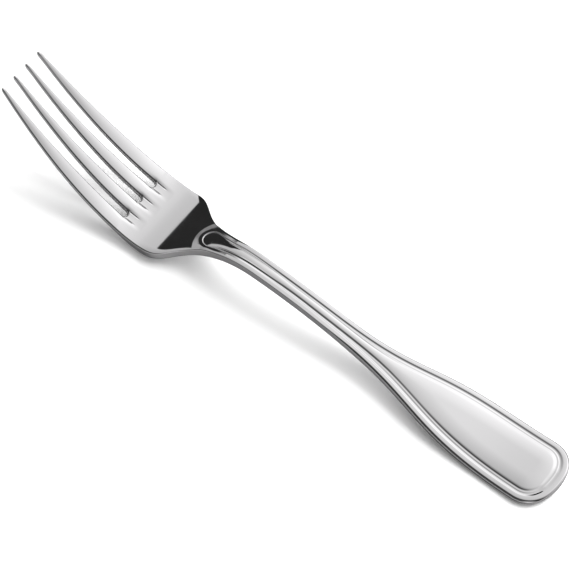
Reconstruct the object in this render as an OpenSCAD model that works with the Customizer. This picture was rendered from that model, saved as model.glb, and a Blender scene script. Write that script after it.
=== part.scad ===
// Dinner fork in the double thread pattern, drawn as the zones of one pressed steel blank.
// X runs along the fork from the tine tips (-X) to the end of the handle (+X), Y across it, Z up.
// The fork lies as it does on a table: the belly of the head and the underside of the handle touch Z = 0.

/* [Outline] */
// Length from the tine tips to the end of the handle
fork_length = 200; // [198:1:202]
// Greatest width of the head
head_width = 27.1; // [26:0.1:28]
// How far each side of the head draws in towards the tips
head_taper = 4.2; // [3.8:0.1:4.4]
// Distance from the tips at which the shoulders start to draw in
shoulder_at = 56.4; // [55:0.1:57]
// Length over which the shoulders lose half their width
shoulder_length = 10.8; // [10:0.1:11]
// Width of the stem at its narrowest
stem_width = 7; // [6.8:0.1:8]
// Width of the handle's broad end
paddle_width = 24.5; // [22:0.1:26]
// Distance from the end of the handle to the middle of its flare
flare_back = 50.5; // [46:0.5:54]
// Length scale of the flare
flare_length = 9; // [7:0.1:10]
// Length of the rounded end
cap_length = 9.6; // [8:0.1:12]
// Squareness of the rounded end: 2 is an ellipse
cap_power = 2.36; // [2:0.02:3]

/* [Side view] */
// Distance from the tips to the lowest point of the head
belly_at = 56; // [55:0.5:58]
// Height of the upper surface at the belly
belly_height = 3; // [2.9:0.05:3.1]
// Rise of the tips above the belly
tip_rise = 23.95; // [20:0.05:26]
// How sharply the tines turn up: 2 is a parabola
tip_curve = 1.645; // [1.6:0.005:2]
// Height of the upper surface at the crest of the neck
neck_height = 10.5; // [10:0.05:11]
// Height of the upper surface at the end of the handle
end_height = 2.26; // [2.1:0.02:2.7]

/* [Thickness] */
// Thickness of a tine at its tip
tip_thickness = 1.05; // [0.95:0.05:1.25]
// Thickness of the head at the belly
belly_thickness = 3.1; // [3.05:0.05:3.2]
// Thickness of the stem
stem_thickness = 2.9; // [2.6:0.1:3.2]
// Thickness of the handle's rim near its end
rim_thickness = 1.75; // [1.65:0.05:1.9]

/* [Tines] */
// Distance between the middles of the slots at the tips
tip_pitch = 5.8; // [5.6:0.1:6]
// Distance between the middles of the slots at their round ends
root_pitch = 6.95; // [6.8:0.05:7.1]
// Width of a slot at its round end
slot_width = 2.4; // [2.3:0.02:2.6]
// How much wider a slot is at the tips
slot_flare = 2.34; // [2:0.02:2.34]
// Length of a slot
slot_length = 47.8; // [47.5:0.1:49]
// Crown of each tine's upper face
tine_crown = 0.1; // [0.05:0.01:0.2]
// Length of the rounding at a tip
tip_round = 1.1; // [0.8:0.1:1.6]
// Length of the shallow groove that runs out beyond each slot
runout_length = 6; // [5:0.1:7]
// Depth of that groove where the slot ends
runout_depth = 0.22; // [0.1:0.01:0.3]

/* [Thread border] */
// Width of the outer thread along the stem
stem_rim = 2.1; // [1.95:0.05:2.15]
// Width of the outer thread round the broad end
paddle_rim = 2.6; // [2.3:0.05:2.7]
// Height of the outer thread above the datum
rim_rise = 0.12; // [0.08:0.01:0.2]
// Depth of the groove below the datum
groove_depth = 0.04; // [0.02:0.01:0.1]
// Rise of the lip that closes the arch
arch_rise = 0.4; // [0.3:0.01:0.45]
// Height of the inner thread at the neck
bead_rise = 0.06; // [0.04:0.01:0.1]
// Height of the inner thread round the broad end
step_rise = 0.07; // [0.04:0.01:0.1]
// Rise of the panel inside the inner thread
panel_rise = 0.11; // [0.05:0.01:0.2]
// Cushion of the panel at the broad end
panel_crown = 0.35; // [0.2:0.01:0.45]
// Distance from the tips at which the threads turn into the arch
arch_from = 74.4; // [74:0.1:75]

/* [Hidden] */

head_half = head_width / 2;
stem_half = stem_width / 2;
paddle_half = paddle_width / 2;
slot_half = slot_width / 2;
slot_end_centre = slot_length - slot_half;
cap_from = fork_length - cap_length;
flare_at = fork_length - flare_back;
taper_from = 55;
taper_power = 1.7;
shoulder_power = 3.75;
tip_overhang = 0.35;
slot_power = 1.9;
runout_half = 1.9;
turned_depth = 0.14;
turned_width = 2.2;
tine_edge = 0.36;
tine_edge_growth = 0.004;
tine_edge_fall = 0.5;
bowl_edge = 0.45;
stem_edge = 0.18;
paddle_edge = 0.7;
flank_from = 68.3;
flank_bow = 0.055;
arch_lift = 0.008;
lift_to = 3.7;
ring_width = 0.95;
bead_width = 0.8;
step_width = 0.5;
panel_riser = 0.75;
panel_reach = 5.5;
wall_share = 0.66;
relief_from = 68;
relief_to = 80;
bowl_to = 61.4;
stem_from = 80;
stem_to = 138;

// Side view of the upper surface behind the belly, and thickness, as distance from the tips and value
profile = [[belly_at, belly_height], [66, 5.07], [75, 8.12], [84, 10.37], [94, neck_height], [110, 9.16],
           [130, 6.48], [155, 3.87], [180, 1.65], [fork_length, end_height]];
thickness = [[0, tip_thickness], [20, 1.3], [40, 1.55], [47, 1.8], [57, belly_thickness], [70, 3.2],
             [95, stem_thickness], [130, 2.5], [155, 2.1], [180, rim_thickness], [fork_length, 1.6]];

// Cubic spline through a list of [place, value], level at its first place or free there
function spline_sweep(k, c, d, i = 1) =
    i > len(k) - 2 ? [c, d] :
    let (h0 = k[i][0] - k[i - 1][0], h1 = k[i + 1][0] - k[i][0],
         r = 6 * ((k[i + 1][1] - k[i][1]) / h1 - (k[i][1] - k[i - 1][1]) / h0),
         q = 2 * (h0 + h1) - h0 * c[i - 1])
    spline_sweep(k, concat(c, h1 / q), concat(d, (r - h0 * d[i - 1]) / q), i + 1);
function spline_back(c, d, i, m) = i < 0 ? m : spline_back(c, d, i - 1, concat([d[i] - c[i] * m[0]], m));
function bends(k, level) =
    let (h = k[1][0] - k[0][0],
         c = level ? 1 / 2 : 0,
         d = level ? 3 * (k[1][1] - k[0][1]) / (h * h) : 0,
         w = spline_sweep(k, [c], [d]))
    spline_back(w[0], w[1], len(k) - 2, [0]);
function span(k, s, i = 0) = i >= len(k) - 2 || s < k[i + 1][0] ? i : span(k, s, i + 1);
function spline(k, m, s) =
    let (i = span(k, s), h = k[i + 1][0] - k[i][0], a = (k[i + 1][0] - s) / h, b = 1 - a)
    a * k[i][1] + b * k[i + 1][1] + ((a * a * a - a) * m[i] + (b * b * b - b) * m[i + 1]) * h * h / 6;
profile_bends = bends(profile, true);
thickness_bends = bends(thickness, false);

function clamp(v) = max(0, min(1, v));
function smooth(v) = let (t = clamp(v)) t * t * (3 - 2 * t);
// How far a quarter circle has fallen over 0 to 1
function fall(t) = 1 - sqrt(1 - pow(clamp(t), 2));

// Outline: half the width at a distance s from the tips
function handle_half(s) = stem_half + (paddle_half - stem_half) / (1 + exp((flare_at - s) / flare_length));
function head_side(s) = head_half - head_taper * pow(max(taper_from - s, 0) / taper_from, taper_power);
function open_half(s) =
    let (u = max(s - shoulder_at, 0) / shoulder_length)
    handle_half(s) + (head_side(s) - handle_half(s)) / (1 + pow(u, shoulder_power));
function cap(s) = pow(1 - pow(clamp((s - cap_from) / cap_length), cap_power), 1 / cap_power);
function half_width(s) = open_half(s) * cap(s);

// Side view: height of the upper surface's datum, and its slope
function datum(s) = s < belly_at
    ? belly_height + tip_rise * pow((belly_at - s) / belly_at, tip_curve)
    : spline(profile, profile_bends, s);
function slope(s) = (datum(s + 0.01) - datum(s - 0.01)) / 0.02;

// Slots: pitch, half width, and distance outside the nearest slot's edge
function pitch(s) = tip_pitch + (root_pitch - tip_pitch) * clamp(s / slot_end_centre);
function slot_side(s) = s < slot_end_centre
    ? slot_half + slot_flare / 2 * pow(1 - s / slot_end_centre, slot_power)
    : sqrt(max(0, slot_half * slot_half - pow(s - slot_end_centre, 2)));
function from_slot_middle(s, y) = let (p = pitch(s)) min(abs(y), abs(abs(y) - p));
function from_slot(s, y) =
    let (a = from_slot_middle(s, y))
    s < slot_end_centre ? a - slot_side(s) : norm([s - slot_end_centre, a]) - slot_half;

// How far in from the outline the polish has rounded the edge
function edge_width(s) =
    let (stem_on = stem_edge + (paddle_edge - stem_edge) * smooth((s - 114) / 16),
         tine = tine_edge + tine_edge_growth * s,
         head = tine + (bowl_edge - tine) * smooth((s - 44) / 6))
    head + (stem_on - head) * smooth((s - 58) / 5);

// Height of the head's upper face over the datum: crown, run-out grooves and softened edges
function head_relief(s, y) =
    let (past = s - slot_end_centre,
         channel = runout_depth * (past < 0 ? exp(past / 2) : clamp(1 - (past - slot_half) / runout_length)),
         hollow = exp(-pow(from_slot_middle(s, y) / runout_half, 4)),
         gap = abs(y) > pitch(s) ? half_width(s) - pitch(s) - slot_side(s) : pitch(s) - 2 * slot_side(s),
         middle = clamp(from_slot(s, y) / max(gap, 1)),
         crown = tine_crown * 4 * middle * (1 - middle) * (1 - smooth((s - 46) / 8)),
         from_side = half_width(s) - abs(y),
         turned = turned_depth * smooth((s - 54) / 8) * (1 - smooth((s - 70) / 8)),
         near_edge = s < slot_length + 1 ? min(from_side, from_slot(s, y)) : from_side,
         edge_fall = bowl_edge + (tine_edge_fall - bowl_edge) * (1 - smooth((s - 44) / 6)),
         edge = (1 - smooth((s - 72) / 6)) * edge_fall * fall(1 - near_edge / edge_width(s)))
    crown - channel * hollow - edge - turned * pow(clamp(1 - from_side / turned_width), 2);

// Threads: inset from the outline, width of the outer thread, and distance inside its groove
function inset_step(s, y, lo, hi, n) =
    n == 0 ? (lo + hi) / 2 :
    let (q = (lo + hi) / 2,
         along = (s - cap_from) / (cap_length - q),
         side = abs(y) / max(open_half(s) - q, 0.001),
         outside = along > 1 || side > 1 || pow(along, cap_power) + pow(side, cap_power) > 1)
    outside ? inset_step(s, y, lo, q, n - 1) : inset_step(s, y, q, hi, n - 1);
function inset(s, y) = s <= cap_from
    ? half_width(s) - abs(y)
    : inset_step(s, y, 0, cap_length - 0.01, 14);
function broad(s) = clamp((handle_half(s) - stem_half) / (paddle_half - stem_half));
function rim(s) = stem_rim + (paddle_rim - stem_rim) / (1 + exp((flare_at - 7 - s) / 9));
function groove_line(s) = open_half(s) - rim(s);
function groove_slope(s) = (groove_line(s + 0.01) - groove_line(s - 0.01)) / 0.02;
function groove_tilt(s) = norm([1, groove_slope(s)]);
arch_y = groove_line(arch_from);
arch_centre = arch_from + arch_y * groove_slope(arch_from);
arch_radius = arch_y * groove_tilt(arch_from);
function inside_groove(s, y) = (s - arch_centre) * arch_y < abs(y) * (arch_from - arch_centre)
    ? arch_radius - norm([s - arch_centre, y])
    : (inset(s, y) - rim(s)) / groove_tilt(s);

// Where the panel starts to rise inside the groove
function riser_from(s) = 0.15 + 0.85 * smooth((s - 112) / 30) - 0.3 * (1 - smooth((s - 90) / 14));

// Height of the threads and the panel over the datum
function thread_relief(s, y) =
    let (e = inside_groove(s, y),
         b = broad(s),
         onto_handle = smooth((s - 71) / 9),
         at_neck = 1 - smooth((s - 84) / 16),
         wall_width = 0.4 + 0.35 * smooth((s - 76) / 8) + 0.1 * b,
         up_flank = max(s - flank_from - flank_bow * y * y, 0),
         to_ring = max(-e - wall_width - ring_width, 0),
         up_share = up_flank / max(up_flank + to_ring, 0.01),
         lip = arch_rise + arch_lift * pow(min(abs(y), lift_to), 2),
         flank = lip * (0.8 * up_share + 0.2 * smooth(up_share)),
         crest = (e + rim(s)) / (rim(s) - wall_width) * (1 + at_neck),
         outer_fall = 0.04 + 0.08 * b + 0.08 * (1 - smooth((s - 76) / 10)),
         outer = rim_rise - outer_fall * pow(clamp(1 - crest), 2),
         rim_height = onto_handle * outer + (1 - onto_handle) * flank,
         at_end = smooth((s - fork_length + 5) / 2) * (1 - smooth((abs(y) - 3) / 3)),
         sunk = (rim_rise + groove_depth) * smooth(1 + e / wall_width) * (1 - 0.6 * at_end - 0.25 * at_neck),
         bead = bead_rise * at_neck * smooth((s - 74) / 8) * pow(sin(180 * clamp(e / bead_width)), 2),
         step = step_rise * smooth((s - 125) / 25) * smooth((e - 0.15) / step_width),
         inner = e - riser_from(s),
         panel = panel_rise * (0.6 + 0.4 * b) * smooth((s - 72) / 9) * smooth(inner / panel_riser),
         reach = max(1, min(panel_reach, min(open_half(s), cap_length) - rim(s) - riser_from(s))),
         cushion = inner > 0 ? panel_crown * (0.45 + 0.55 * b) * (1 - pow(clamp(1 - inner / reach), 2)) : 0,
         edge = smooth((s - 72) / 6) * edge_width(s) * fall(1 - inset(s, y) / edge_width(s)))
    rim_height - sunk + bead + step + panel + cushion - edge;

// Upper and lower face as heights over the datum; both close in on half the thickness at a rounded tip
function tip_shape(s) = sqrt(1 - pow(1 - clamp(s / tip_round), 2));
function depth(s) = spline(thickness, thickness_bends, s);
function rounded(s, h) = tip_shape(s) * h - (1 - tip_shape(s)) * depth(s) / 2;
function relief(s, y) = (s > relief_from ? thread_relief(s, y) : 0) + (s < relief_to ? head_relief(s, y) : 0);
function top_height(s, y) = rounded(s, relief(s, y));
function belly_power(s) = 5 - 2.6 * smooth((s - 62) / 12) * (1 - smooth((s - 125) / 35));
function bottom_height(s, y) =
    let (side = clamp(abs(y) / max(half_width(s), 0.01)),
         curved = pow(1 - pow(side, belly_power(s)), 0.45),
         soft = s < slot_length + 0.4 ? 0.4 * fall(1 - from_slot(s, y) / 0.4) * smooth(s / 4) : 0)
    rounded(s, soft - depth(s) * (wall_share + (1 - wall_share) * curved));

// A point of a section that stands square to the side view; nothing goes below the table
function place(s, y, h) =
    let (m = slope(s), g = sqrt(1 + m * m))
    [s - (fork_length - tip_overhang) / 2 - h * m / g, y, max(0, datum(s) + h / g)];
function section(s, ys) = concat(
    [for (y = ys) place(s, y, top_height(s, y))],
    [for (i = [len(ys) - 1:-1:0]) place(s, ys[i], bottom_height(s, ys[i]))]);

// A closed solid through sections of the same number of points
module loft(rings) {
    n = len(rings[0]);
    last = len(rings) - 1;
    sides = [for (i = [0:last - 1], j = [0:n - 1])
        let (a = i * n + j, b = i * n + (j + 1) % n)
        each [[a, b, b + n], [a, b + n, a + n]]];
    start = [for (j = [0:n / 2 - 2]) [j, n - 1 - j, n - 2 - j, j + 1]];
    end = [for (j = [0:n / 2 - 2]) [for (k = [j, j + 1, n - 2 - j, n - 1 - j]) last * n + k]];
    polyhedron(points = [for (r = rings, p = r) p], faces = concat(sides, start, end), convexity = 8);
}

// Places across a section
tine_fractions = [0, 0.03, 0.08, 0.2, 0.5, 0.8, 0.92, 0.97, 1];
function across_tine(s, i) =
    let (p = pitch(s), v = slot_side(s), w = half_width(s),
         left = [-w, -p + v, v, p + v][i], right = [-p - v, -v, p - v, w][i],
         middle = (left + right) / 2, half = (right - left) / 2 * tip_shape(s))
    [for (f = tine_fractions) middle + half * (2 * f - 1)];
edge_steps = [1, 0.45, 0.12, 0];
function across_head(s) =
    let (w = half_width(s), p = root_pitch, c = slot_half,
         one = [0, 0.6, c, c + 0.6, p / 2, p - c - 0.6, p - c, p - 0.6, p, p + 0.6, p + c, p + c + 0.6],
         k = min(1, (w - 0.7) / (p + c + 0.8)),
         right = concat([for (v = one) v * k], [for (e = edge_steps) w - e * bowl_edge]))
    concat([for (i = [len(right) - 1:-1:1]) -right[i]], right);
function mirrored(half) = concat([for (v = half) -v], [0], [for (i = [len(half) - 1:-1:0]) half[i]]);
// Half the distance between the two lines that lie e inside the groove of the outer thread
function line_half(s, e) =
    let (on_handle = groove_line(s) - e * groove_tilt(s),
         along = clamp((s - cap_from) / max(cap_length - rim(s) - e, 0.01)))
    s < arch_from
        ? sqrt(max(0, pow(arch_radius - e, 2) - pow(s - arch_centre, 2)))
        : on_handle * pow(1 - pow(along, cap_power), 1 / cap_power);
rim_steps = [0.15, 0.5, 0.85];
groove_steps = [-0.8, -0.5, -0.25, 0, 0.2, 0.45, 0.75, 1.1, 1.6];
function across_handle(s) =
    let (w = half_width(s), corner = min(edge_width(s), w / 8), n = len(groove_steps),
         corners = [for (e = edge_steps) w - (1 - e) * corner],
         inner = [for (i = [0:n - 1])
             max(line_half(s, groove_steps[i]), 0.7 * w * (1 - 0.75 * i / (n - 1)))],
         rims = [for (f = rim_steps) w - corner - (w - corner - inner[0]) * f])
    mirrored(concat(corners, rims, inner, [inner[n - 1] * 0.66, inner[n - 1] * 0.33]));

tip_stations = [for (a = [12, 22, 32, 44, 64, 90]) tip_round * (1 - cos(a))];
root_stations = [for (a = [0, 18, 36, 54, 70, 82]) slot_end_centre + slot_half * sin(a)];
module tine(i) {
    stations = concat(tip_stations, [for (s = [3:3:45]) s], root_stations, [slot_length]);
    loft([for (s = stations) section(s, across_tine(s, i))]);
}

module left_outer_tine() {
    color("silver") tine(0);
}

module left_inner_tine() {
    color("silver") tine(1);
}

module right_inner_tine() {
    color("silver") tine(2);
}

module right_outer_tine() {
    color("silver") tine(3);
}

// The head behind the slots, as far as the place where the surface turns up to the neck
module bowl() {
    stations = concat([slot_length], [for (i = [1:11]) slot_length + (bowl_to - slot_length) * i / 11]);
    color("silver") loft([for (s = stations) section(s, across_head(s))]);
}

// The shoulders and neck, with the arch that closes both threads
module shoulders() {
    stations = concat([bowl_to], [for (s = [62.5:1.25:67.5]) s], [for (s = [68.2:0.45:74]) s],
                      [arch_from, 75.2, 76.5, 78, stem_from]);
    color("silver") loft([for (s = stations) section(s, across_handle(s))]);
}

module stem() {
    stations = [for (i = [0:20]) stem_from + (stem_to - stem_from) * i / 20];
    color("silver") loft([for (s = stations) section(s, across_handle(s))]);
}

// The broad end: sections crowd together round the cap
module handle_end() {
    stations = concat([for (i = [0:20]) stem_to + (cap_from - stem_to) * i / 20],
                      [for (a = [9:9:81]) cap_from + cap_length * sin(a)], [fork_length - 0.03]);
    color("silver") loft([for (s = stations) section(s, across_handle(s))]);
}

left_outer_tine();
left_inner_tine();
right_inner_tine();
right_outer_tine();
bowl();
shoulders();
stem();
handle_end();
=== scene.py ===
# %% [markdown]
# # A dinner fork, pressed from one steel blank
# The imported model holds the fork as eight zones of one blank: four tines, the bowl, the shoulders, the stem
# and the broad end of the handle. It is right in size and place, but its flat facets would break up a mirror
# polish. So each zone is drawn again here from the same formulas, with many more points, and takes the place
# of its CAD node.

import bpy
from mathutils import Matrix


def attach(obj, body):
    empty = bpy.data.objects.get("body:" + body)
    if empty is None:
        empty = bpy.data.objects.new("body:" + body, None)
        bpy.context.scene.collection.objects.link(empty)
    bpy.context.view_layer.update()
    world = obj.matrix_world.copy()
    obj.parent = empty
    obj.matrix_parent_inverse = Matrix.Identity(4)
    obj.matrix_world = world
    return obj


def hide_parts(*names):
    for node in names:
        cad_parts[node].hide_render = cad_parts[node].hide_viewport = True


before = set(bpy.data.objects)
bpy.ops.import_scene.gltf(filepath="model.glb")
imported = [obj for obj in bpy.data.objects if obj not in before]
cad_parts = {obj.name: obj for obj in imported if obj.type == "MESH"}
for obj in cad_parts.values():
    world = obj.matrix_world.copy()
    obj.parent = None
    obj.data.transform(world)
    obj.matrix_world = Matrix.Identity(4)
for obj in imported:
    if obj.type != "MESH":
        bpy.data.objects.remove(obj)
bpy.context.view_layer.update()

# %% Tools
import math

import bpy
import numpy as np
from mathutils import Matrix, Vector

# %% [markdown]
# ## The outline
# Seen from above, the fork is a head that tapers a little towards the tips, shoulders that draw in to a thin
# stem, and a handle that flares to a rounded end. It could be traced point by point, but a mirror shows every
# wobble between traced points. So each stretch is one smooth formula of s, the distance from the tips in
# millimetres, and half_width(s) is how far the edge is from the middle line.

# %% Outline
FORK_LENGTH = 200.0
HEAD_HALF = 13.55
HEAD_TAPER = 4.2
TAPER_FROM = 55.0
TAPER_POWER = 1.7
SHOULDER_AT = 56.4
SHOULDER_LENGTH = 10.8
SHOULDER_POWER = 3.75
STEM_HALF = 3.5
PADDLE_HALF = 12.25
FLARE_AT = 149.5
FLARE_LENGTH = 9.0
CAP_LENGTH = 9.6
CAP_POWER = 2.36   # 2 would make the rounded end an ellipse, and more makes it squarer
CAP_FROM = FORK_LENGTH - CAP_LENGTH


def handle_half(s):
    return STEM_HALF + (PADDLE_HALF - STEM_HALF) / (1 + np.exp((FLARE_AT - s) / FLARE_LENGTH))


def open_half(s):
    """Half width before the end is rounded off."""
    head = HEAD_HALF - HEAD_TAPER * (np.maximum(TAPER_FROM - s, 0) / TAPER_FROM) ** TAPER_POWER
    past = np.maximum(s - SHOULDER_AT, 0) / SHOULDER_LENGTH
    return handle_half(s) + (head - handle_half(s)) / (1 + past ** SHOULDER_POWER)


def half_width(s):
    cap = 1 - np.clip((s - CAP_FROM) / CAP_LENGTH, 0, 1) ** CAP_POWER
    return open_half(s) * cap ** (1 / CAP_POWER)


print("widths in mm at the tips, head, stem and broad end:",
      [round(2 * float(half_width(s)), 2) for s in (0.0, 50.0, 100.0, 185.0)])

# %% [markdown]
# ## The side view
# The blank is bent in a press: the tines sweep up from the belly of the head, the neck rises behind it and
# the handle falls slowly to the table again. The tines follow a power curve, which bends most near the belly
# as real tines do, and the rest is a cubic spline through a few heights. Blender's own curves could draw the
# same line, but this one can be asked for its height and slope at any place. It leaves the belly level, so
# the two curves meet smoothly.

# %% A cubic spline
class Spline:
    """A cubic spline through places and values, level at its first place if level is true."""

    def __init__(self, points, level=False):
        self.k, self.v = np.array(points, float).T
        h = np.diff(self.k)
        n = len(self.k)
        rows = np.eye(n)
        bend = np.zeros(n)
        for i in range(1, n - 1):
            rows[i, i - 1:i + 2] = h[i - 1], 2 * (h[i - 1] + h[i]), h[i]
            bend[i] = 6 * ((self.v[i + 1] - self.v[i]) / h[i] - (self.v[i] - self.v[i - 1]) / h[i - 1])
        if level:
            rows[0, :2] = 2 * h[0], h[0]
            bend[0] = 6 * (self.v[1] - self.v[0]) / h[0]
        self.m = np.linalg.solve(rows, bend)

    def __call__(self, s):
        i = np.clip(np.searchsorted(self.k, s, side="right") - 1, 0, len(self.k) - 2)
        h = self.k[i + 1] - self.k[i]
        a = (self.k[i + 1] - s) / h
        b = 1 - a
        bow = (a ** 3 - a) * self.m[i] + (b ** 3 - b) * self.m[i + 1]
        return a * self.v[i] + b * self.v[i + 1] + bow * h * h / 6


# %% Side view
BELLY_AT = 56.0
BELLY_HEIGHT = 3.0
TIP_RISE = 23.95
TIP_CURVE = 1.645
PROFILE = [(BELLY_AT, BELLY_HEIGHT), (66, 5.07), (75, 8.12), (84, 10.37), (94, 10.5), (110, 9.16),
           (130, 6.48), (155, 3.87), (180, 1.65), (FORK_LENGTH, 2.26)]
THICKNESS = [(0, 1.05), (20, 1.3), (40, 1.55), (47, 1.8), (57, 3.1), (70, 3.2), (95, 2.9), (130, 2.5),
             (155, 2.1), (180, 1.75), (FORK_LENGTH, 1.6)]

profile = Spline(PROFILE, level=True)
depth = Spline(THICKNESS)


def datum(s):
    """Height of the upper surface, before its relief."""
    front = BELLY_HEIGHT + TIP_RISE * (np.maximum(BELLY_AT - s, 0) / BELLY_AT) ** TIP_CURVE
    return np.where(s < BELLY_AT, front, profile(np.maximum(s, BELLY_AT)))


def slope(function, s, step=0.002):
    return (function(s + step) - function(s - step)) / (2 * step)


print("heights in mm at the tips, belly, neck and end:",
      [round(float(datum(s)), 2) for s in (0.0, 57.0, 92.0, 200.0)])

# %% [markdown]
# ## The slots
# The four tines are what is left between three pierced slots. A slot widens towards the tips, so that the
# tines taper, and ends in half a circle. Slots could be cut with a Boolean modifier, but its faces would
# shade unevenly. Here they are a distance field: from_slot says how far a place is from the nearest slot's
# edge, which gives the tines their sides and every softened edge its shape.

# %% Slots
TIP_PITCH = 5.8
ROOT_PITCH = 6.95
SLOT_HALF = 1.2
SLOT_FLARE = 1.17
SLOT_POWER = 1.9
SLOT_LENGTH = 47.8
SLOT_CENTRE = SLOT_LENGTH - SLOT_HALF


def pitch(s):
    """From the middle of one slot to the next."""
    return TIP_PITCH + (ROOT_PITCH - TIP_PITCH) * np.clip(s / SLOT_CENTRE, 0, 1)


def slot_side(s):
    """Half a slot's width."""
    straight = SLOT_HALF + SLOT_FLARE * np.clip(1 - s / SLOT_CENTRE, 0, 1) ** SLOT_POWER
    round_end = np.sqrt(np.maximum(0, SLOT_HALF ** 2 - np.maximum(s - SLOT_CENTRE, 0) ** 2))
    return np.where(s < SLOT_CENTRE, straight, round_end)


def from_slot_middle(s, y):
    return np.minimum(np.abs(y), np.abs(np.abs(y) - pitch(s)))


def from_slot(s, y):
    beyond = np.hypot(np.maximum(s - SLOT_CENTRE, 0), from_slot_middle(s, y)) - SLOT_HALF
    return np.where(s < SLOT_CENTRE, from_slot_middle(s, y) - slot_side(s), beyond)


print("inner tine's width in mm at its tip and its root:",
      [round(float(pitch(s) - 2 * slot_side(s)), 2) for s in (0.0, 46.0)])

# %% [markdown]
# ## Edges softened by polishing
# A buffing wheel takes the corner off every edge: a third to half a millimetre round the head, hardly any
# along the stem and more on the broad end. A Bevel modifier would do it with a few flat facets, which a
# mirror shows. So next to each edge the height falls off along a quarter of an ellipse.

# %% Softened edges
TINE_EDGE = 0.36
TINE_EDGE_GROWTH = 0.004
BOWL_EDGE = 0.45
STEM_EDGE = 0.18
PADDLE_EDGE = 0.7

# Stretches of s over which one form gives way to the next.
TINE_TO_BOWL = (44, 50)
BOWL_TO_STEM = (58, 63)
STEM_TO_PADDLE = (114, 130)


def smooth(v):
    t = np.clip(v, 0, 1)
    return t * t * (3 - 2 * t)


def rise(v, start, end):
    """From 0 at start to 1 at end, level at both."""
    return smooth((v - start) / (end - start))


def fall(t):
    """How far a quarter circle has fallen over 0 to 1."""
    return 1 - np.sqrt(1 - np.clip(t, 0, 1) ** 2)


def edge_width(s):
    """How far in the polish has rounded the edge."""
    stem_on = STEM_EDGE + (PADDLE_EDGE - STEM_EDGE) * rise(s, *STEM_TO_PADDLE)
    tine = TINE_EDGE + TINE_EDGE_GROWTH * s
    head = tine + (BOWL_EDGE - tine) * rise(s, *TINE_TO_BOWL)
    return head + (stem_on - head) * rise(s, *BOWL_TO_STEM)


print("rounding in mm at the tips, bowl, stem and broad end:",
      [round(float(edge_width(s)), 2) for s in (0.0, 55.0, 90.0, 185.0)])

# %% [markdown]
# ## The relief of the head
# The tines are slightly crowned. Beyond each slot a shallow groove runs out into the bowl, where the press
# sank the slot's edge, and a sharp stroke, a tenth of a millimetre deep, runs along each side of the slot's
# round end. Towards the shoulders the outer edge is turned down a little. These could be sculpted, but as
# heights over the datum they stay smooth and keep their size.

# %% Relief of the head
TINE_CROWN = 0.1
CROWN_FADES = (46, 54)
TINE_EDGE_FALL = 0.5
RUNOUT_DEPTH = 0.22
RUNOUT_HALF = 1.9
RUNOUT_START = 2.0
RUNOUT_LENGTH = 6.0
STROKE_AT = 1.3   # from the slot's middle line
STROKE_HALF = 0.17
STROKE_DEPTH = 0.1
STROKE_STARTS = (46.2, 47.2)
STROKE_FADES = (49.8, 51.8)
TURNED_EDGE = 0.14
TURNED_WIDTH = 2.2
TURNED_STARTS = (54, 62)
TURNED_FADES = (70, 78)
HEAD_EDGE_FADES = (72, 78)   # the handle's own edge takes over here


def head_relief(s, y):
    """Crown, softened edges, run-out grooves and strokes of the head, as a height over the datum."""
    past = s - SLOT_CENTRE
    from_middle = from_slot_middle(s, y)
    runout_here = np.where(past < 0, np.exp(np.minimum(past, 0) / RUNOUT_START),
                           np.clip(1 - (past - SLOT_HALF) / RUNOUT_LENGTH, 0, 1))
    runout = RUNOUT_DEPTH * runout_here * np.exp(-(from_middle / RUNOUT_HALF) ** 4)
    outer_tine = half_width(s) - pitch(s) - slot_side(s)
    tine_width = np.where(np.abs(y) > pitch(s), outer_tine, pitch(s) - 2 * slot_side(s))
    share = np.clip(from_slot(s, y) / np.maximum(tine_width, 1), 0, 1)
    crown = TINE_CROWN * 4 * share * (1 - share) * (1 - rise(s, *CROWN_FADES))
    from_side = half_width(s) - np.abs(y)
    turned = TURNED_EDGE * rise(s, *TURNED_STARTS) * (1 - rise(s, *TURNED_FADES))
    turned_edge = turned * np.clip(1 - from_side / TURNED_WIDTH, 0, 1) ** 2
    near_edge = np.minimum(from_side, np.where(s < SLOT_LENGTH + 1, from_slot(s, y), np.inf))
    edge_fall = BOWL_EDGE + (TINE_EDGE_FALL - BOWL_EDGE) * (1 - rise(s, *TINE_TO_BOWL))
    edge = (1 - rise(s, *HEAD_EDGE_FADES)) * edge_fall * fall(1 - near_edge / edge_width(s))
    stroke = STROKE_DEPTH * rise(s, *STROKE_STARTS) * (1 - rise(s, *STROKE_FADES))
    strokes = stroke * np.exp(-((from_middle - STROKE_AT) / STROKE_HALF) ** 2)
    return crown - runout - strokes - edge - turned_edge


print("depth in mm of the middle run-out 2 and 5 mm past the slot:",
      [round(-float(head_relief(SLOT_LENGTH + past, 0.0)), 3) for past in (2.0, 5.0)])

# %% [markdown]
# ## How far inside the outline
# Two raised lines, the threads, follow the handle's outline and frame its panel. They could be tubes swept
# along a curve, but a die presses them into the blank, so they have no seam with it. Here their height
# depends only on how far a place lies inside the outline. That makes them run round the broad end without a
# break.

# %% Inside the outline
STEM_RIM = 2.1   # from the outline to the groove between the threads
PADDLE_RIM = 2.6
RIM_AT = FLARE_AT - 7.0
RIM_LENGTH = 9.0
HALVINGS = 40


def inset(s, y):
    """Distance inside the outline; round the end it is found by halving."""
    low = np.zeros(np.broadcast(s, y).shape)
    high = low + CAP_LENGTH - 0.01
    for _ in range(HALVINGS):
        q = (low + high) / 2
        along = np.maximum(s - CAP_FROM, 0) / (CAP_LENGTH - q)
        side = np.abs(y) / np.maximum(open_half(s) - q, 0.001)
        outside = (along ** CAP_POWER + side ** CAP_POWER) > 1
        high = np.where(outside, q, high)
        low = np.where(outside, low, q)
    return np.where(s <= CAP_FROM, half_width(s) - np.abs(y), (low + high) / 2)


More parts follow.
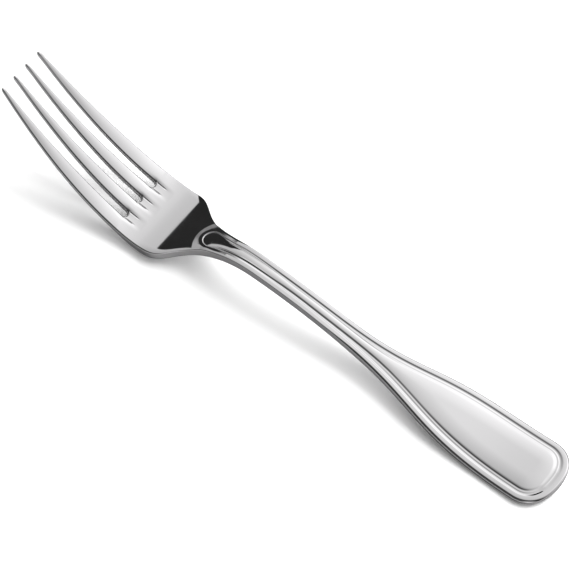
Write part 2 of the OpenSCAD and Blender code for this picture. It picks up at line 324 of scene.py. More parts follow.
def broad(s):
    """From 0 on the stem to 1 on the broad end."""
    return np.clip((handle_half(s) - STEM_HALF) / (PADDLE_HALF - STEM_HALF), 0, 1)


def rim(s):
    return STEM_RIM + (PADDLE_RIM - STEM_RIM) / (1 + np.exp((RIM_AT - s) / RIM_LENGTH))


def groove_line(s):
    return open_half(s) - rim(s)


print("groove from the middle line in mm, on the stem and the broad end:",
      [round(float(groove_line(s)), 2) for s in (100.0, 185.0)])

# %% [markdown]
# ## The arch at the neck
# At the neck the groove between the threads closes in a round arch. It could be a separate ring, but then
# the grooves would run into it at an angle. Here its circle touches them: its centre lies square to the
# groove at ARCH_FROM, where the two join without a kink.

# %% Arch
ARCH_FROM = 74.4
ARCH_Y = float(groove_line(ARCH_FROM))
ARCH_SLOPE = float(slope(groove_line, ARCH_FROM))
ARCH_CENTRE = ARCH_FROM + ARCH_Y * ARCH_SLOPE
ARCH_RADIUS = ARCH_Y * math.hypot(1, ARCH_SLOPE)


def inside_groove(s, y):
    """Distance inside the groove that borders the outer thread, which closes in an arch at the neck."""
    along_handle = (inset(s, y) - rim(s)) / np.hypot(1, slope(groove_line, s))
    round_arch = ARCH_RADIUS - np.hypot(s - ARCH_CENTRE, y)
    at_arch = (s - ARCH_CENTRE) * ARCH_Y < np.abs(y) * (ARCH_FROM - ARCH_CENTRE)
    return np.where(at_arch, round_arch, along_handle)


print("arch centre and radius in mm:", round(ARCH_CENTRE, 2), round(ARCH_RADIUS, 2))

# %% [markdown]
# ## The outer thread
# On the handle the outer thread is the rounded rim of the blank, with a soft wall down into the groove. In
# front of the arch it turns into a lip: the surface climbs from the bowl to a ring round the arch. The climb
# follows two distances, one from the foot of the flank and one to the ring, so it fills the odd shape between
# them without a crease.

# %% Wall and lip
ARCH_WALL = 0.4     # width of the wall at the arch, and what the handle and the broad end add
HANDLE_WALL = 0.35
PADDLE_WALL = 0.1
WALL_WIDENS = (76, 84)
FLANK_FROM = 68.3
FLANK_BOW = 0.055
FLANK_SOFTENED = 0.2
RING_WIDTH = 0.95
ARCH_RISE = 0.4
ARCH_LIFT = 0.008   # how the lip gains height away from the middle line, as far as LIFT_TO
LIFT_TO = 3.7


def wall_width(s):
    return ARCH_WALL + HANDLE_WALL * rise(s, *WALL_WIDENS) + PADDLE_WALL * broad(s)


def lip_height(s, y, e):
    """Height of the lip in front of the arch; e is the distance inside the groove."""
    up_flank = np.maximum(s - FLANK_FROM - FLANK_BOW * y ** 2, 0)
    to_ring = np.maximum(-e - wall_width(s) - RING_WIDTH, 0)
    share = up_flank / np.maximum(up_flank + to_ring, 0.01)
    lip = ARCH_RISE + ARCH_LIFT * np.minimum(np.abs(y), LIFT_TO) ** 2
    return lip * ((1 - FLANK_SOFTENED) * share + FLANK_SOFTENED * smooth(share))


print("wall width in mm at the arch, stem and broad end:",
      [round(float(wall_width(s)), 2) for s in (74.0, 100.0, 185.0)])

# %% Outer thread and groove
RIM_RISE = 0.12
GROOVE_DEPTH = 0.04
NECK_FADES = (84, 100)
ONTO_HANDLE = (71, 80)
RIM_FALL = 0.04        # how far the rim's outer side falls, and what the broad end and the neck add
PADDLE_FALL = 0.08
NECK_FALL = 0.08
NECK_FALL_FADES = (76, 86)
SHALLOW_AT_END = 0.6   # shares of its depth that the groove loses at the middle of the end and at the neck
SHALLOW_AT_NECK = 0.25
END_OVER = (195, 197)
END_SIDES = (3, 6)


def at_neck(s):
    return 1 - rise(s, *NECK_FADES)


def outer_thread(s, y, e):
    """The rim or lip, less the groove."""
    crest = (e + rim(s)) / (rim(s) - wall_width(s)) * (1 + at_neck(s))
    rim_fall = RIM_FALL + PADDLE_FALL * broad(s) + NECK_FALL * (1 - rise(s, *NECK_FALL_FADES))
    rounded = RIM_RISE - rim_fall * np.clip(1 - crest, 0, 1) ** 2
    onto_handle = rise(s, *ONTO_HANDLE)
    at_end = rise(s, *END_OVER) * (1 - rise(np.abs(y), *END_SIDES))
    kept = 1 - SHALLOW_AT_END * at_end - SHALLOW_AT_NECK * at_neck(s)
    sunk = (RIM_RISE + GROOVE_DEPTH) * smooth(1 + e / wall_width(s)) * kept
    return onto_handle * rounded + (1 - onto_handle) * lip_height(s, y, e) - sunk


print("groove's floor in mm over the datum, on the stem and the broad end:",
      [round(float(outer_thread(s, float(groove_line(s)), 0.0)), 3) for s in (120.0, 185.0)])

# %% [markdown]
# ## The inner thread and the panel
# The inner thread is a fine bead at the neck and a step on the broad end. Inside it a riser lifts the panel,
# which is slightly cushioned, so that it mirrors the room as one soft gradient. The buffing has left the
# riser a little softer on the far side and round the end than on the near side.

# %% Inner thread
BEAD_WIDTH = 0.8
BEAD_RISE = 0.06
BEAD_STARTS = (74, 82)
STEP_FROM = 0.15
STEP_WIDTH = 0.5
STEP_RISE = 0.07
STEP_STARTS = (125, 150)


def inner_thread(s, e):
    arc = np.sin(np.pi * np.clip(e / BEAD_WIDTH, 0, 1)) ** 2
    bead = BEAD_RISE * at_neck(s) * rise(s, *BEAD_STARTS) * arc
    return bead + STEP_RISE * rise(s, *STEP_STARTS) * smooth((e - STEP_FROM) / STEP_WIDTH)


print("inner thread's height in mm at the neck and on the broad end:",
      [round(float(inner_thread(s, e)), 3) for s, e in ((84.0, 0.4), (185.0, 1.0))])

# %% Panel
RISER_FROM = 0.15      # where the riser starts on the stem, and how far the inner thread moves it in
RISER_MOVES = 0.85
RISER_MOVES_OVER = (112, 142)
RISER_AT_NECK = 0.3
RISER_NECK_FADES = (90, 104)
PANEL_RISER = 0.75
BUFFED_RISER = 0.45
BUFFED_ACROSS = 4.0
BUFFED_END = (190, 193)
PANEL_RISE = 0.11
PANEL_STARTS = (72, 81)
PANEL_CROWN = 0.35
PANEL_REACH = 5.5
STEM_RISE_SHARE = 0.6
STEM_CROWN_SHARE = 0.45


def riser_from(s):
    """Where the panel starts to rise, inside the groove: beside it on the stem, past the step on the end."""
    moved = RISER_MOVES * rise(s, *RISER_MOVES_OVER)
    return RISER_FROM + moved - RISER_AT_NECK * (1 - rise(s, *RISER_NECK_FADES))


def panel_relief(s, y, e):
    """The riser and the cushioned panel inside it."""
    inner = e - riser_from(s)
    riser = PANEL_RISER + BUFFED_RISER * broad(s) * smooth(y / BUFFED_ACROSS + rise(s, *BUFFED_END))
    full_rise = PANEL_RISE * (STEM_RISE_SHARE + (1 - STEM_RISE_SHARE) * broad(s)) * rise(s, *PANEL_STARTS)
    reach = np.clip(np.minimum(open_half(s), CAP_LENGTH) - rim(s) - riser_from(s), 1, PANEL_REACH)
    full_crown = PANEL_CROWN * (STEM_CROWN_SHARE + (1 - STEM_CROWN_SHARE) * broad(s))
    cushion = full_crown * (1 - np.clip(1 - inner / reach, 0, 1) ** 2)
    return full_rise * smooth(inner / riser) + np.where(inner > 0, cushion, 0)


def thread_relief(s, y):
    """Height of the threads and the panel over the datum, less the handle's softened edge."""
    e = inside_groove(s, y)
    edge = rise(s, *HEAD_EDGE_FADES) * edge_width(s) * fall(1 - inset(s, y) / edge_width(s))
    return outer_thread(s, y, e) + inner_thread(s, e) + panel_relief(s, y, e) - edge


print("panel's height in mm over the datum, on the stem and the broad end:",
      [round(float(thread_relief(np.float64(s), np.float64(0))), 3) for s in (100.0, 175.0)])

# %% [markdown]
# ## The underside and the sections
# The underside is a shallow belly between thin side walls. Every section of the fork stands square to the
# side view, as a cut through a bent strip does. Upright sections would be simpler, but they would thin the
# tines where they sweep up.

# %% Underside
WALL_SHARE = 0.66   # share of the thickness that stands as a wall along the edge
BELLY_POWER = 5.0
ROUNDER_BY = 2.6
ROUNDER_STARTS = (62, 74)
ROUNDER_FADES = (125, 160)
BELLY_FULLNESS = 0.45
UNDER_EDGE = 0.4
UNDER_EDGE_STARTS = (0, 4)


def underside(s, y):
    side = np.clip(np.abs(y) / np.maximum(half_width(s), 0.01), 0, 1)
    power = BELLY_POWER - ROUNDER_BY * rise(s, *ROUNDER_STARTS) * (1 - rise(s, *ROUNDER_FADES))
    body = -depth(s) * (WALL_SHARE + (1 - WALL_SHARE) * (1 - side ** power) ** BELLY_FULLNESS)
    softened = UNDER_EDGE * fall(1 - from_slot(s, y) / UNDER_EDGE) * rise(s, *UNDER_EDGE_STARTS)
    return body + np.where(s < SLOT_LENGTH + UNDER_EDGE, softened, 0)


print("thickness in mm at the tips, bowl, stem and end:",
      [round(float(depth(s)), 2) for s in (0.0, 55.0, 100.0, 200.0)])

# %% Sections
TIP_OVERHANG = 0.35   # how far the square sections push the tips back
THREADS_FROM = 68
HEAD_RELIEF_TO = 80


def relief(s, y):
    threads = np.where(s > THREADS_FROM, thread_relief(s, y), 0)
    return threads + np.where(s < HEAD_RELIEF_TO, head_relief(s, y), 0)


def place(s, y, height):
    """Points in millimetres of the section at s; nothing goes below the table."""
    m = slope(datum, s)
    g = np.hypot(1, m)
    x = s - (FORK_LENGTH - TIP_OVERHANG) / 2 - height * m / g
    z = np.maximum(0, datum(s) + height / g)
    return np.stack(np.broadcast_arrays(x, y, z), -1)


print("middle of the bowl in mm:", place(55.0, 0.0, 0.0).round(2).tolist())

# %% [markdown]
# ## From sections to a mesh
# A zone is lofted: its sections are rings of the same number of points, joined by quads and closed at both
# ends. Plain smooth shading would average the faces round each point and leave a visible line where two
# zones meet. So each point takes its normal straight from the formulas, by stepping two microns along and
# across, and the zones agree where they meet.

# %% Rings of points
TIP_ROUND = 1.1   # a tine's tip is rounded over this length


def tip_shape(s):
    return np.sqrt(1 - (1 - np.clip(s / TIP_ROUND, 0, 1)) ** 2)


def ring_points(s, y, middle):
    """Upper and lower points of sections s at places y; a tine's end shrinks towards its middle."""
    shrink = tip_shape(s)
    half_depth = depth(s) / 2
    across = middle + (y - middle) * shrink
    upper = place(s, across, -half_depth + shrink * (relief(s, y) + half_depth))
    lower = place(s, across, -half_depth + shrink * (underside(s, y) + half_depth))
    return upper, lower


# %% Exact normals
STEP = 0.002


def unit(v):
    return v / np.maximum(np.linalg.norm(v, axis=-1, keepdims=True), 1e-12)


def centred(s):
    return 0 * s


def lofted(stations, across, middle):
    """Points and outward normals of a zone: arrays of section, place round the section, and x, y, z."""
    s = np.array(stations, float)[:, None]
    y = across(s)
    upper, lower = ring_points(s, y, middle(s))
    ahead = ring_points(s + STEP, across(s + STEP), middle(s + STEP))
    behind = ring_points(s - STEP, across(s - STEP), middle(s - STEP))
    right = ring_points(s, y + STEP, middle(s))
    left = ring_points(s, y - STEP, middle(s))
    normals = [unit(np.cross(ahead[k] - behind[k], right[k] - left[k])) * (1, -1)[k] for k in (0, 1)]
    m = slope(datum, s)
    upright = unit(np.stack(np.broadcast_arrays(-m, 0 * m, 1 + 0 * m), -1))
    for column, sign in ((0, -1), (-1, 1)):   # the side walls face straight out
        along = (ahead[0] - behind[0])[:, column]
        side = unit(np.cross(upright[:, 0], along)) * sign
        for k in (0, 1):
            normals[k][:, column] = side
    return np.concatenate([upper, lower[:, ::-1]], 1), np.concatenate([normals[0], normals[1][:, ::-1]], 1)


# %% A closed mesh
MM = 0.001


def zone_faces(rings, n):
    """Quads round rings of n points, then the quads that close the first ring and the last."""
    i, j = np.meshgrid(np.arange(rings - 1), np.arange(n), indexing="ij")
    k = (j + 1) % n
    sides = np.stack([i * n + j, i * n + k, (i + 1) * n + k, (i + 1) * n + j], -1).reshape(-1, 4)[:, ::-1]
    c = np.arange(n // 2 - 1)
    first = np.stack([c, c + 1, n - 2 - c, n - 1 - c], -1)
    last = first[:, ::-1] + (rings - 1) * n
    return sides, first, last


def make_zone(name, stations, across, material, middle=centred):
    """A closed mesh object, in metres, that takes the place of the CAD node of that name."""
    points, normals = lofted(stations, across, middle)
    rings, n = points.shape[:2]
    sides, first, last = zone_faces(rings, n)
    faces = np.concatenate([sides, first, last])
    mesh = bpy.data.meshes.new(name)
    mesh.from_pydata((points.reshape(-1, 3) * MM).tolist(), [], faces.tolist())
    mesh.shade_smooth()
    corner_normals = normals.reshape(-1, 3)[faces]
    # The closing faces are flat cuts, so they face straight along the fork.
    for start, ring, direction in ((len(sides), 0, -1), (len(sides) + len(first), -1, 1)):
        ends = points[ring]
        flat = np.cross(ends[n // 2 - 1] - ends[0], ends[n // 4] - ends[-n // 4])
        flat *= direction * np.sign(flat[0]) / np.linalg.norm(flat)
        corner_normals[start:start + len(first)] = flat
    mesh.normals_split_custom_set(corner_normals.reshape(-1, 3).tolist())
    mesh.materials.append(material)
    piece = bpy.data.objects.new(name + "_steel", mesh)
    bpy.context.scene.collection.objects.link(piece)
    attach(piece, "root")
    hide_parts(name)
    print(f"{name}: {rings} sections of {n} points, {len(faces)} faces")
    return piece


# %% [markdown]
# ## Mirror polished stainless steel
# The blank is stainless steel, buffed with ever finer compound until it mirrors the room. A mirror has
# hardly any look of its own, so the material is a metal with a pale, nearly neutral colour and a roughness
# near zero. A picture of scratches could be laid on it, but it would need unwrapping and would blur close
# up. Three procedural patterns keep it from looking computed: a haze of polishing that varies over the
# surface, buffing lines along the fork, and a very slight swell that bends reflections, as on every pressed
# and buffed sheet.

# %% Colour and node helpers
def linear(hex_colour):
    """An sRGB hex colour as the linear RGBA that shader sockets take."""
    channels = [int(hex_colour[i:i + 2], 16) / 255 for i in (1, 3, 5)]
    return [c / 12.92 if c <= 0.04045 else ((c + 0.055) / 1.055) ** 2.4 for c in channels] + [1.0]


def add_node(tree, kind, settings=None, links=None):
    """Adds a node; settings go to its properties and sockets, links give its inputs other nodes' outputs."""
    node = tree.nodes.new(kind)
    for key, value in (settings or {}).items():
        if isinstance(key, str) and hasattr(node, key):
            setattr(node, key, value)
        else:
            node.inputs[key].default_value = value
    for key, output in (links or {}).items():
        tree.links.new(output, node.inputs[key])
    return node


# %% Steel
STEEL = "#e6e5e6"
ROUGHNESS = 0.05         # a mirror polish, which the haze makes a little more and less
HAZE = 0.02
HAZE_MM = 14.0
NOISE_SPAN = (0.3, 0.7)  # noise seldom leaves this span
BUFFING_LINE_MM = 0.35   # real lines are about a tenth of this, too fine for the picture
LINE_DEPTH_MM = 0.00004
LINE_STRETCH = (0.04, 1.0, 0.3)   # drawn out along the fork
SWELL_MM = 9.0
SWELL_DEPTH_MM = 0.004

mirror_steel = bpy.data.materials.new("mirror_polished_stainless_steel")
mirror_steel.use_nodes = True
tree = mirror_steel.node_tree
tree.nodes.clear()
here = add_node(tree, "ShaderNodeTexCoord").outputs["Object"]
patches = add_node(tree, "ShaderNodeTexNoise", {"Scale": 1 / (HAZE_MM * MM), "Detail": 3.0}, {"Vector": here})
rough = add_node(tree, "ShaderNodeMapRange",
                 {"From Min": NOISE_SPAN[0], "From Max": NOISE_SPAN[1], "To Min": ROUGHNESS - HAZE,
                  "To Max": ROUGHNESS + HAZE}, {"Value": patches.outputs["Fac"]})
drawn = add_node(tree, "ShaderNodeMapping", {"Scale": LINE_STRETCH}, {"Vector": here})
lines = add_node(tree, "ShaderNodeTexNoise", {"Scale": 1 / (BUFFING_LINE_MM * MM), "Detail": 2.0},
                 {"Vector": drawn.outputs["Vector"]})
line_bump = add_node(tree, "ShaderNodeBump", {"Strength": 1.0, "Distance": LINE_DEPTH_MM * MM},
                     {"Height": lines.outputs["Fac"]})
swell = add_node(tree, "ShaderNodeTexNoise", {"Scale": 1 / (SWELL_MM * MM), "Detail": 0.0}, {"Vector": here})
bump = add_node(tree, "ShaderNodeBump", {"Strength": 1.0, "Distance": SWELL_DEPTH_MM * MM},
                {"Height": swell.outputs["Fac"], "Normal": line_bump.outputs["Normal"]})
steel = add_node(tree, "ShaderNodeBsdfPrincipled", {"Base Color": linear(STEEL), "Metallic": 1.0},
                 {"Roughness": rough.outputs["Result"], "Normal": bump.outputs["Normal"]})
add_node(tree, "ShaderNodeOutputMaterial", {}, {"Surface": steel.outputs["BSDF"]})
print(mirror_steel.name, "has", len(tree.nodes), "nodes")

# %% [markdown]
# ## The tines
# All four are the same job: sections from the rounded tip to the round end of the slot. Points crowd together
# near the edges, where the polish has rounded the steel over less than half a millimetre, and along the round
# end of the slot. A subdivision surface would spread them evenly and blur just these places.

# %% Places across a tine
ROUND_STEPS = 1 - np.cos(np.radians([0, 8, 18, 30, 43, 56, 72, 90]))
FLAT_STEPS = 14


def across_tine(i):
    """Two functions of s for tine i: the places across it, and its middle line."""
    def edges(s):
        p, v, w = pitch(s), slot_side(s), half_width(s)
        return [-w, -p + v, v, p + v][i], [-p - v, -v, p - v, w][i]

    def middle(s):
        return sum(edges(s)) / 2

    def across(s):
        low, high = edges(s)
        rounded = np.minimum(edge_width(s), (high - low) / 4) * ROUND_STEPS[None, :]
        flat = np.linspace(0, 1, FLAT_STEPS)[None, 1:-1]
        left, right = low + rounded, high - rounded
        between = left[:, -1:] + (right[:, -1:] - left[:, -1:]) * flat
        return np.concatenate([left, between, right[:, ::-1]], 1)

    return across, middle


print("points across a tine:", across_tine(0)[0](np.array([[20.0]])).shape[1])

# %% Tines
TIP_DEGREES = (13, 90)   # the tip's first section is a small blunt end
ROUND_SECTIONS = 16
TINE_SPACING = 0.75

tip_stations = TIP_ROUND * (1 - np.cos(np.radians(np.linspace(*TIP_DEGREES, ROUND_SECTIONS))))
round_stations = SLOT_CENTRE + SLOT_HALF * np.sin(np.radians(np.linspace(0, 90, ROUND_SECTIONS)))
long_stations = np.arange(TIP_ROUND + 0.5, SLOT_CENTRE - 0.2, TINE_SPACING)
tine_stations = np.concatenate([tip_stations, long_stations, round_stations])
for i, name in enumerate(["left_outer_tine", "left_inner_tine", "right_inner_tine", "right_outer_tine"]):
    across, middle = across_tine(i)
    make_zone(name, tine_stations, across, mirror_steel, middle)

# %% [markdown]
# ## The bowl
# The bowl is nearly flat across, so its points are spread evenly, close enough together to carry the run-out
# grooves and their sharp strokes. Its first sections crowd behind the slots, where the grooves are deepest.

# %% Bowl
BOWL_TO = 61.4
BOWL_STEPS = 200


def across_bowl(s):
    edge = edge_width(s) * ROUND_STEPS[None, :]
    w = half_width(s)
    even = np.linspace(-1, 1, BOWL_STEPS)[None, 1:-1] * (w - edge_width(s))
    return np.concatenate([-w + edge, even, (w - edge)[:, ::-1]], 1)


behind_slots = SLOT_LENGTH + np.linspace(0, 1.1, 12) ** 1.5   # closest together at the slots
bowl_stations = np.concatenate([behind_slots, np.linspace(49.2, BOWL_TO, 36)])
make_zone("bowl", bowl_stations, across_bowl, mirror_steel)

# %% [markdown]
# ## The shoulders, stem and handle end
# From the shoulders on, the points follow the threads: a fixed number lie across the rim, the wall, the inner
# thread and the panel, wherever these run. An even grid would cross the grooves at a slant and make them look
# like a saw, and this way each groove stays crisp along its whole length.

# %% Places across the handle
RIM_STEPS = np.linspace(0, 1, 12)[1:-1]     # shares of the way across the rim
WALL_STEPS = np.linspace(-0.8, 0, 12)       # millimetres inside the groove's edge, where 0 is its floor
BEAD_STEPS = np.linspace(0, 1.6, 24)[1:]
MIDDLE_STEPS = np.linspace(1, 0, 15)[1:]    # shares of what is left to the middle line
SPREAD = (0.7, 0.175)   # in front of the arch the lines lie between these shares of the half width


def line_half(s, e):
    """Half the distance between the two lines that lie e inside the groove of the outer thread."""
    on_handle = groove_line(s) - e * np.hypot(1, slope(groove_line, s))
    q = rim(s) + e
    along = np.clip((s - CAP_FROM) / np.maximum(CAP_LENGTH - q, 0.01), 0, 1)
    round_cap = on_handle * (1 - along ** CAP_POWER) ** (1 / CAP_POWER)
    round_arch = np.sqrt(np.maximum(0, (ARCH_RADIUS - e) ** 2 - (s - ARCH_CENTRE) ** 2))
    return np.where(s < ARCH_FROM, round_arch, round_cap)


def across_handle(s):
    w = half_width(s)
    insides = np.concatenate([WALL_STEPS, BEAD_STEPS])
    floors = w * np.linspace(*SPREAD, len(insides))[None, :]
    inner = np.maximum(np.concatenate([line_half(s, e) for e in insides], 1), floors)
    rounded = w - np.minimum(edge_width(s), w / 8) * ROUND_STEPS[None, :]
    rims = rounded[:, -1:] - (rounded[:, -1:] - inner[:, :1]) * RIM_STEPS[None, :]
    middles = inner[:, -1:] * MIDDLE_STEPS[None, :-1]
    half = np.concatenate([rounded, rims, inner, middles], 1)
    return np.concatenate([-half, 0 * w, half[:, ::-1]], 1)


print("points across the handle:", across_handle(np.array([[100.0]])).shape[1])

# %% Shoulders, stem and handle end
STEM_FROM = 80.0
STEM_TO = 138.0
CAP_DEGREES = 85   # the last section is a narrow flat end, not a point

arch_stations = np.arange(68.1, 74.6, 0.1)   # close together over the lip and the front of the arch
shoulder_stations = np.concatenate([np.linspace(BOWL_TO, 68, 18), arch_stations,
                                    np.linspace(75, STEM_FROM, 14)])
make_zone("shoulders", shoulder_stations, across_handle, mirror_steel)
make_zone("stem", np.linspace(STEM_FROM, STEM_TO, 60), across_handle, mirror_steel)
cap_stations = CAP_FROM + CAP_LENGTH * np.sin(np.radians(np.linspace(0, CAP_DEGREES, 110)))
end_stations = np.concatenate([np.linspace(STEM_TO, CAP_FROM, 62)[:-1], cap_stations])
make_zone("handle_end", end_stations, across_handle, mirror_steel)

# %% [markdown]
# ## The camera
# The photograph looks down on the fork from its left, from far away with a long lens, so its sides hardly
# converge. The camera could be turned by eye, but here it stands where a fit to the outline puts it: angles
# round the fork, a roll, a distance and a focal length in pixels of the picture.

# %% Camera
AZIMUTH, ELEVATION, ROLL = (math.radians(a) for a in (23.56, 55.68, 14.1))
DISTANCE = 1.533
TARGET = Vector((0.000835, 0.00068, 0.00785))
SENSOR_MM = 36.0
FRAME_PIXELS = 576
FOCAL_PIXELS = 5198.0

back = Vector((math.sin(AZIMUTH) * math.cos(ELEVATION),
               -math.cos(AZIMUTH) * math.cos(ELEVATION), math.sin(ELEVATION)))
level = Vector((math.cos(AZIMUTH), math.sin(AZIMUTH), 0))
right = level * math.cos(ROLL) + back.cross(level) * math.sin(ROLL)
camera = bpy.data.objects.new("camera", bpy.data.cameras.new("camera"))
camera.data.lens = FOCAL_PIXELS / FRAME_PIXELS * SENSOR_MM
camera.data.sensor_width = SENSOR_MM
camera.matrix_world = Matrix((right, back.cross(right), back)).transposed().to_4x4()
camera.location = TARGET + back * DISTANCE
bpy.context.scene.collection.objects.link(camera)
bpy.context.scene.camera = camera
print("lens in mm:", round(camera.data.lens, 1))

# %% [markdown]
# ## The room that the steel mirrors
# A mirror finish is made by what stands round it. A photographer lays polished steel on a white table, with
# a large soft light behind it and a dim room above it. Cards and lamps could be modelled, but here they are
# drawn by direction in the world, which casts no stray shadows. The room is one curve over Y, from front to
# back, times one over X, from the head's side to the handle's.

# %% Curves of the room
# Radiance with 1 as white, against the Y of a direction, and a factor against its X.
ROOM = [(-1.0, 0.06), (-0.5, 0.06), (-0.05, 0.09), (0.15, 0.36), (0.35, 0.60), (0.5, 0.80), (0.62, 1.0),
        (0.75, 1.2), (0.84, 1.2), (0.93, 0.2), (1.0, 0.08)]
SIDES = [(-1.0, 0.8), (-0.5, 0.83), (-0.22, 0.96), (0.0, 1.12), (0.15, 1.25), (0.3, 1.12), (0.45, 1.0),
         (0.65, 0.78), (0.85, 0.7), (1.0, 0.7)]
CURVE_TOP = 2.0   # a curve node holds values up to 1, so they are stored as shares of this


def fill_curve(node, points):
    """Gives a curve node pairs of a direction's part, from -1 to 1, and the value there."""
    stored = [(part / 2 + 0.5, value / CURVE_TOP) for part, value in points]
    curve = node.mapping.curves[0]
    curve.points[0].location = stored[0]
    curve.points[1].location = stored[-1]
    for point in stored[1:-1]:
        curve.points.new(*point)
    node.mapping.update()


print("brightest place of the room:", max(value for part, value in ROOM), "with 1 as white")

# %% World
WHOLE_AXIS = {"From Min": -1.0, "From Max": 1.0}

world = bpy.data.worlds.new("studio")
bpy.context.scene.world = world
world.use_nodes = True
tree = world.node_tree
tree.nodes.clear()
ray = add_node(tree, "ShaderNodeTexCoord").outputs["Generated"]
parts = add_node(tree, "ShaderNodeSeparateXYZ", {}, {"Vector": ray}).outputs
backward = add_node(tree, "ShaderNodeMapRange", WHOLE_AXIS, {"Value": parts["Y"]})
room = add_node(tree, "ShaderNodeFloatCurve", {}, {"Value": backward.outputs["Result"]})
fill_curve(room, ROOM)
sideways = add_node(tree, "ShaderNodeMapRange", WHOLE_AXIS, {"Value": parts["X"]})
sides = add_node(tree, "ShaderNodeFloatCurve", {}, {"Value": sideways.outputs["Result"]})
fill_curve(sides, SIDES)
scaled = add_node(tree, "ShaderNodeMath", {"operation": "MULTIPLY", 1: CURVE_TOP ** 2},
                  {0: sides.outputs["Value"]})
open_room = add_node(tree, "ShaderNodeMath", {"operation": "MULTIPLY"},
                     {0: room.outputs["Value"], 1: scaled.outputs["Value"]})
print("the room is made with", len(tree.nodes), "nodes")

# %% [markdown]
# ## What stands in the room
# A black card stands behind the head, and its edges cut the shoulders into light and dark. Beside it is a
# side lamp, and on the photographer's side a low window, which the views from behind need. What lights the
# table is kept apart from what the steel mirrors: a sky that is dim in front and bright behind, and a low
# bright strip behind the fork. All their soft edges are rows of one plan, and a loop draws them.

# %% Plan of the studio
BLACK_CARD = 0.022
UNDER_CARD = 0.22
SIDE_LAMP = 0.45
WINDOW = 0.9
SKY_DIM = 0.12
SKY_BRIGHT = 1.5
STRIP = 18.0

# Name: the part of a direction, where a soft step starts and ends, and the values before and after it. The
# azimuth is in degrees from X towards Y, and Y and Z are those of a direction of length 1.
PLAN = {
    "card_top": ("Z", 0.611, 0.626, 1.0, 0.0),
    "card_right": ("azimuth", 115, 126, 0.0, 1.0),
    "card_left": ("azimuth", 152, 158, 1.0, 0.0),
    "card_tone": ("Z", 0.12, 0.28, UNDER_CARD, BLACK_CARD),
    "window_left": ("azimuth", -75, -45, 0.0, 1.0),
    "window_right": ("azimuth", -45, -15, WINDOW, 0.0),
    "window_top": ("Z", 0.35, 0.6, 1.0, 0.0),
    "sky": ("Y", -0.4, 0.6, SKY_DIM, SKY_BRIGHT),
    "strip_behind": ("Y", 0.1, 0.5, 0.0, 1.0),
    "strip_low": ("Z", 0.1, 0.3, STRIP, 0.0),
}

azimuth = add_node(tree, "ShaderNodeMath", {"operation": "ARCTAN2"}, {0: parts["Y"], 1: parts["X"]})
directions = {"azimuth": azimuth.outputs["Value"], "Y": parts["Y"], "Z": parts["Z"]}
planned = {}
for name, (part, start, end, before, after) in PLAN.items():
    if part == "azimuth":
        start, end = math.radians(start), math.radians(end)
    step = add_node(tree, "ShaderNodeMapRange",
                    {"interpolation_type": "SMOOTHSTEP", "From Min": start, "From Max": end,
                     "To Min": before, "To Max": after}, {"Value": directions[part]})
    planned[name] = step.outputs["Result"]
print("soft steps drawn:", len(planned))

# %% Card, lamp and window
card_sides = add_node(tree, "ShaderNodeMath", {"operation": "MULTIPLY"},
                      {0: planned["card_right"], 1: planned["card_left"]})
card = add_node(tree, "ShaderNodeMath", {"operation": "MULTIPLY"},
                {0: planned["card_top"], 1: card_sides.outputs["Value"]})
past_card = add_node(tree, "ShaderNodeMath", {"operation": "SUBTRACT", 0: 1.0}, {1: planned["card_left"]})
lamp_here = add_node(tree, "ShaderNodeMath", {"operation": "MULTIPLY"},
                     {0: past_card.outputs["Value"], 1: planned["card_top"]})
lamp = add_node(tree, "ShaderNodeMix", {"B": SIDE_LAMP},
                {"Factor": lamp_here.outputs["Value"], "A": open_room.outputs["Value"]})
window_sides = add_node(tree, "ShaderNodeMath", {"operation": "MULTIPLY"},
                        {0: planned["window_left"], 1: planned["window_right"]})
window = add_node(tree, "ShaderNodeMath", {"operation": "MULTIPLY"},
                  {0: window_sides.outputs["Value"], 1: planned["window_top"]})
around = add_node(tree, "ShaderNodeMath", {"operation": "ADD"},
                  {0: lamp.outputs["Result"], 1: window.outputs["Value"]})
mirrored = add_node(tree, "ShaderNodeMix", {}, {"Factor": card.outputs["Value"],
                                                "A": around.outputs["Value"], "B": planned["card_tone"]})
print("with its card, lamp and window the world has", len(tree.nodes), "nodes")

# %% [markdown]
# ## One world for three kinds of ray
# The world answers each kind of ray in its own way, through the Light Path node. The camera sees plain
# white, as in the photograph, the steel mirrors the room, and all other rays bring the light of the sky and
# the strip to the table. That way the background never adds light to the object.

# %% World by kind of ray
strip = add_node(tree, "ShaderNodeMath", {"operation": "MULTIPLY"},
                 {0: planned["strip_behind"], 1: planned["strip_low"]})
lights = add_node(tree, "ShaderNodeMath", {"operation": "ADD"},
                  {0: planned["sky"], 1: strip.outputs["Value"]})
path = add_node(tree, "ShaderNodeLightPath").outputs
plain = add_node(tree, "ShaderNodeMix", {"B": 1.0},
                 {"Factor": path["Is Camera Ray"], "A": lights.outputs["Value"]})
strength = add_node(tree, "ShaderNodeMix", {}, {"Factor": path["Is Glossy Ray"],
                                                "A": plain.outputs["Result"],
                                                "B": mirrored.outputs["Result"]})
background = add_node(tree, "ShaderNodeBackground", {"Color": linear("#ffffff")},
                      {"Strength": strength.outputs["Result"]})
add_node(tree, "ShaderNodeOutputWorld", {}, {"Surface": background.outputs["Background"]})
print("the whole world has", len(tree.nodes), "nodes")

# %% [markdown]
# ## The table
# The fork lies on white paper, which in the photograph fades to pure white and keeps a soft shadow. More
# light would burn out the steel, so the paper itself gets a faint glow that only the camera sees. It grows
# with distance, so that no horizon shows. The side walls of the fork mirror the table, and in the photograph
# they are much darker than it, so reflections get a grey table of their own.

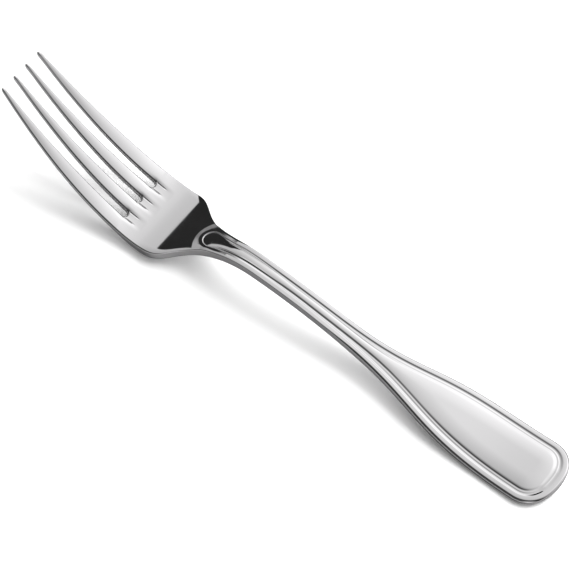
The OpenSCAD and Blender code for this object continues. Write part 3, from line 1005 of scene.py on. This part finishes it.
# %% Floor
FLOOR_SIZE = 3.0
PAPER = "#f2f2f2"
# Painted reflection: the table that only reflections see is a darker grey than the paper, a shade darker
# under the handle than under the head.
MIRRORED_AT_HEAD = "#959595"
MIRRORED_AT_HANDLE = "#8e8e8e"
HEAD_TO_HANDLE = (-0.05, -0.02)   # metres along the fork
FLOOR_GLOW = 0.1
FAR_GLOW = 0.4
GLOW_GROWS = (0.3, 1.0)           # metres from the fork's middle

floor_mesh = bpy.data.meshes.new("floor")
corners = [(x * FLOOR_SIZE / 2, y * FLOOR_SIZE / 2, 0) for x, y in ((-1, -1), (1, -1), (1, 1), (-1, 1))]
floor_mesh.from_pydata(corners, [], [(0, 1, 2, 3)])
floor = bpy.data.objects.new("floor", floor_mesh)
bpy.context.scene.collection.objects.link(floor)
print("floor in metres:", FLOOR_SIZE, "by", FLOOR_SIZE)

# %% White paper
paper = bpy.data.materials.new("white_table_paper")
paper.use_nodes = True
tree = paper.node_tree
tree.nodes.clear()
path = add_node(tree, "ShaderNodeLightPath").outputs
on_table = add_node(tree, "ShaderNodeTexCoord").outputs["Object"]
white = add_node(tree, "ShaderNodeBsdfDiffuse", {"Color": linear(PAPER)})
away = add_node(tree, "ShaderNodeVectorMath", {"operation": "LENGTH"}, {0: on_table})
glow_here = add_node(tree, "ShaderNodeMapRange",
                     {"From Min": GLOW_GROWS[0], "From Max": GLOW_GROWS[1], "To Min": FLOOR_GLOW,
                      "To Max": FAR_GLOW}, {"Value": away.outputs["Value"]})
seen = add_node(tree, "ShaderNodeMath", {"operation": "MULTIPLY"},
                {0: path["Is Camera Ray"], 1: glow_here.outputs["Result"]})
glow = add_node(tree, "ShaderNodeEmission", {}, {"Strength": seen.outputs["Value"]})
lit = add_node(tree, "ShaderNodeAddShader", {}, {0: white.outputs["BSDF"], 1: glow.outputs["Emission"]})
spot = add_node(tree, "ShaderNodeSeparateXYZ", {}, {"Vector": on_table}).outputs
tone = add_node(tree, "ShaderNodeMapRange",
                {"interpolation_type": "SMOOTHSTEP", "From Min": HEAD_TO_HANDLE[0],
                 "From Max": HEAD_TO_HANDLE[1], "To Min": linear(MIRRORED_AT_HEAD)[0],
                 "To Max": linear(MIRRORED_AT_HANDLE)[0]}, {"Value": spot["X"]})
grey = add_node(tree, "ShaderNodeBsdfDiffuse", {}, {"Color": tone.outputs["Result"]})
both = add_node(tree, "ShaderNodeMixShader", {}, {0: path["Is Glossy Ray"], 1: lit.outputs["Shader"],
                                                  2: grey.outputs["BSDF"]})
add_node(tree, "ShaderNodeOutputMaterial", {}, {"Surface": both.outputs["Shader"]})
floor_mesh.materials.append(paper)
print(paper.name, "has", len(tree.nodes), "nodes")

# %% [markdown]
# ## The key light
# One round softbox stands above and behind the fork and casts the soft shadow towards the camera. It is
# hidden from reflections, because the room already has its bright side, and a lamp would show in it as one
# more bright spot.

# %% Key light
KEY_FROM = Vector((0.25, 0.70, 0.66)).normalized()
KEY_DISTANCE = 1.0
KEY_SIZE = 0.7
KEY_WATTS = 11.0

key = bpy.data.objects.new("key_light", bpy.data.lights.new("key_light", "AREA"))
key.data.shape = "DISK"
key.data.size = KEY_SIZE
key.data.energy = KEY_WATTS
key.location = KEY_FROM * KEY_DISTANCE
key.rotation_euler = KEY_FROM.to_track_quat("Z", "Y").to_euler()
key.visible_glossy = False
bpy.context.scene.collection.objects.link(key)
print("key light in metres:", [round(v, 3) for v in key.location])

# %% [markdown]
# ## Colour management
# The Standard view transform shows each colour as it is written.

# %% Colour management
bpy.context.scene.view_settings.view_transform = "Standard"
